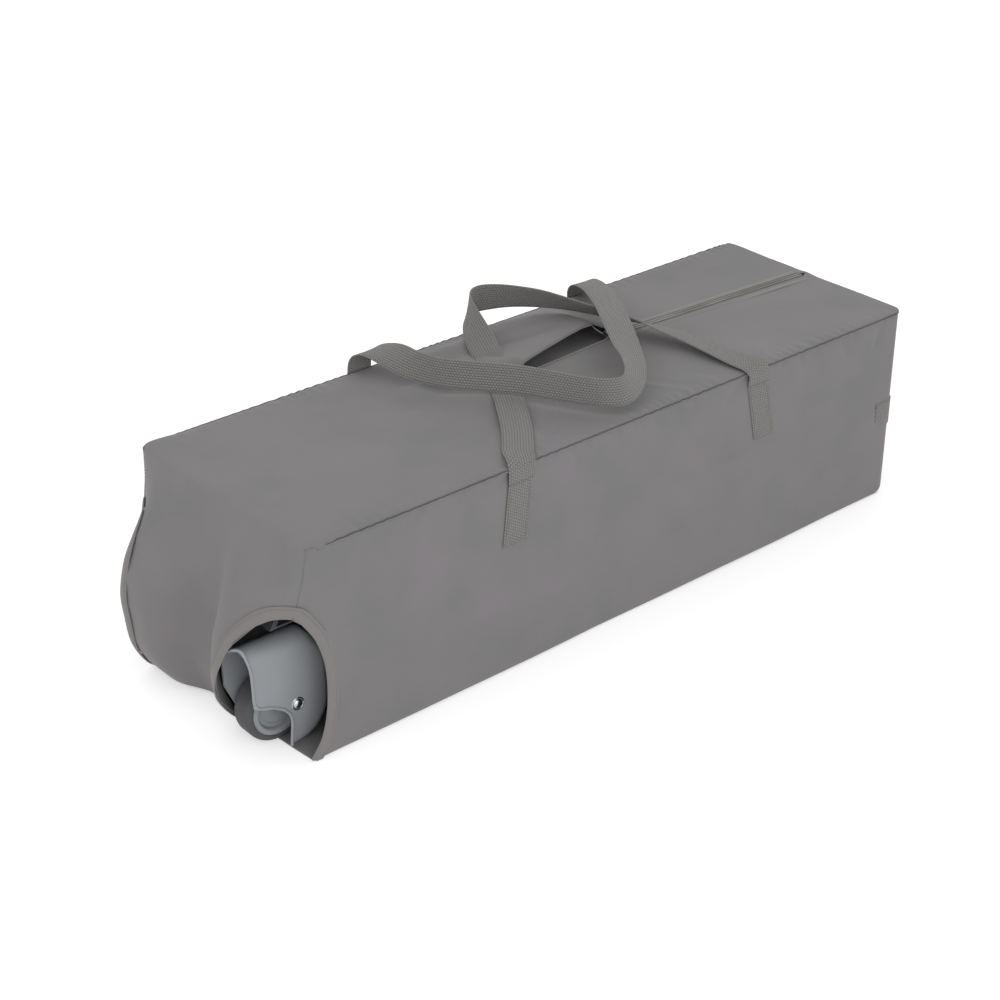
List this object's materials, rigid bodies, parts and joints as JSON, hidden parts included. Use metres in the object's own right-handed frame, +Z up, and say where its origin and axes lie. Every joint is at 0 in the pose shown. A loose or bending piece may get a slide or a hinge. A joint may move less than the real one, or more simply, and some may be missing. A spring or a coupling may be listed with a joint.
{
  "type": "playpen",
  "caption": "Folding travel cot packed in its zipped carry bag, with crossed webbing carry handles, an end grab handle and hooded wheels showing through corner cut-outs.",
  "frame": {"origin": "centre of the bag's bottom face, on the floor", "axes": "+X along the bag away from the wheels, +Y to the far side, +Z up"},
  "size_m": [0.8658, 0.2726, 0.2671],
  "materials": {
    "bag_cloth": "matt woven polyester with a soft coating",
    "binding": "ribbed polyester binding tape",
    "webbing": "coarse woven polyester webbing",
    "zip_tape": "woven tape with a nylon coil",
    "zip_metal": "satin nickel plate",
    "hook_and_loop": "napped hook-and-loop tape",
    "mattress_cover": "quilted polyester",
    "mesh_fabric": "knitted mesh and woven cloth",
    "button_plastic": "satin moulded",
    "dark_plastic": "satin moulded",
    "painted_tube": "powder coat",
    "grey_plastic": "satin moulded",
    "tyre": "fine matt tread",
    "bright_steel": "bright plated"
  },
  "bodies": {
    "bag": {"bag_bottom": "bag_cloth", "bag_side_far": "bag_cloth", "bag_side_near": "bag_cloth", "bag_top_far": "bag_cloth", "bag_top_near": "bag_cloth", "bag_wheel_end": "bag_cloth", "bag_zip_end": "bag_cloth", "base_hub": "dark_plastic", "base_legs": "painted_tube", "base_pull_strap": "webbing", "corner_cap_high_far": "dark_plastic", "corner_cap_high_near": "dark_plastic", "corner_cap_low_far": "dark_plastic", "corner_cap_low_near": "dark_plastic", "corner_post_high_far": "painted_tube", "corner_post_high_near": "painted_tube", "corner_post_low_far": "painted_tube", "corner_post_low_near": "painted_tube", "cutout_binding_far": "binding", "cutout_binding_near": "binding", "end_grab_handle": "webbing", "handle_ends": "webbing", "hood_rivets": "bright_steel", "latch_long_far": "dark_plastic", "latch_long_near": "dark_plastic", "latch_short_high": "dark_plastic", "latch_short_low": "dark_plastic", "long_rail_high_far": "painted_tube", "long_rail_high_near": "painted_tube", "long_rail_low_far": "painted_tube", "long_rail_low_near": "painted_tube", "mattress_bottom": "mattress_cover", "mattress_side_far": "mattress_cover", "mattress_side_near": "mattress_cover", "mattress_straps": "hook_and_loop", "mattress_top": "mattress_cover", "plain_foot_far": "dark_plastic", "plain_foot_near": "dark_plastic", "short_rail_high_far": "painted_tube", "short_rail_high_near": "painted_tube", "short_rail_low_far": "painted_tube", "short_rail_low_near": "painted_tube", "side_fabric": "mesh_fabric", "wheel_axles": "bright_steel", "wheel_hood_far": "grey_plastic", "wheel_hood_near": "grey_plastic", "zip_row_far": "zip_tape", "zip_row_near": "zip_tape"},
    "wheel_near": {"wheel_hub_near": "grey_plastic", "tyre_near": "tyre"},
    "wheel_far": {"wheel_hub_far": "grey_plastic", "tyre_far": "tyre"},
    "zip_slider": {"zip_slider": "zip_metal"},
    "zip_puller": {"zip_puller": "zip_metal"},
    "carry_handle_far": {"carry_handle_far": "webbing"},
    "carry_handle_near": {"carry_handle_near": "webbing"},
    "latch_button_long_near": {"latch_button_long_near": "button_plastic"},
    "latch_button_long_far": {"latch_button_long_far": "button_plastic"},
    "latch_button_short_low": {"latch_button_short_low": "button_plastic"},
    "latch_button_short_high": {"latch_button_short_high": "button_plastic"}
  },
  "joints": [
    {"name": "wheel_near_spin", "type": "hinge", "parent": "bag", "child": "wheel_near", "pos_m": [-0.396, -0.068, 0.035], "axis": [0, 1, 0], "continuous": true},
    {"name": "wheel_far_spin", "type": "hinge", "parent": "bag", "child": "wheel_far", "pos_m": [-0.396, 0.068, 0.035], "axis": [0, 1, 0], "continuous": true},
    {"name": "zip_slide", "type": "slide", "parent": "bag", "child": "zip_slider", "axis": [0.9982, -0.0602, 0], "range_m": [-0.125, 0.27]},
    {"name": "puller_swing", "type": "hinge", "parent": "zip_slider", "child": "zip_puller", "pos_m": [0.10381, 0.02469, 0.2258], "axis": [-0.0602, -0.9982, 0], "range_deg": [0, 170]},
    {"name": "far_handle_swing", "type": "hinge", "parent": "bag", "child": "carry_handle_far", "pos_m": [0, 0.1323, 0.2048], "axis": [-1, 0, 0], "range_deg": [0, 170]},
    {"name": "near_handle_swing", "type": "hinge", "parent": "bag", "child": "carry_handle_near", "pos_m": [0, -0.1323, 0.2048], "axis": [1, 0, 0], "range_deg": [0, 68]},
    {"name": "press_long_near", "type": "slide", "parent": "bag", "child": "latch_button_long_near", "axis": [0, 1, 0], "range_m": [0, 0.004], "stiffness_N_per_m": 500},
    {"name": "press_long_far", "type": "slide", "parent": "bag", "child": "latch_button_long_far", "axis": [0, -1, 0], "range_m": [0, 0.004], "stiffness_N_per_m": 500},
    {"name": "press_short_low", "type": "slide", "parent": "bag", "child": "latch_button_short_low", "axis": [0, 0, 1], "range_m": [0, 0.004], "stiffness_N_per_m": 500},
    {"name": "press_short_high", "type": "slide", "parent": "bag", "child": "latch_button_short_high", "axis": [0, 0, -1], "range_m": [0, 0.004], "stiffness_N_per_m": 500}
  ],
  "couplings": [
    {"joint": "near_handle_swing", "follows": "far_handle_swing", "ratio": 0.4}
  ]
}
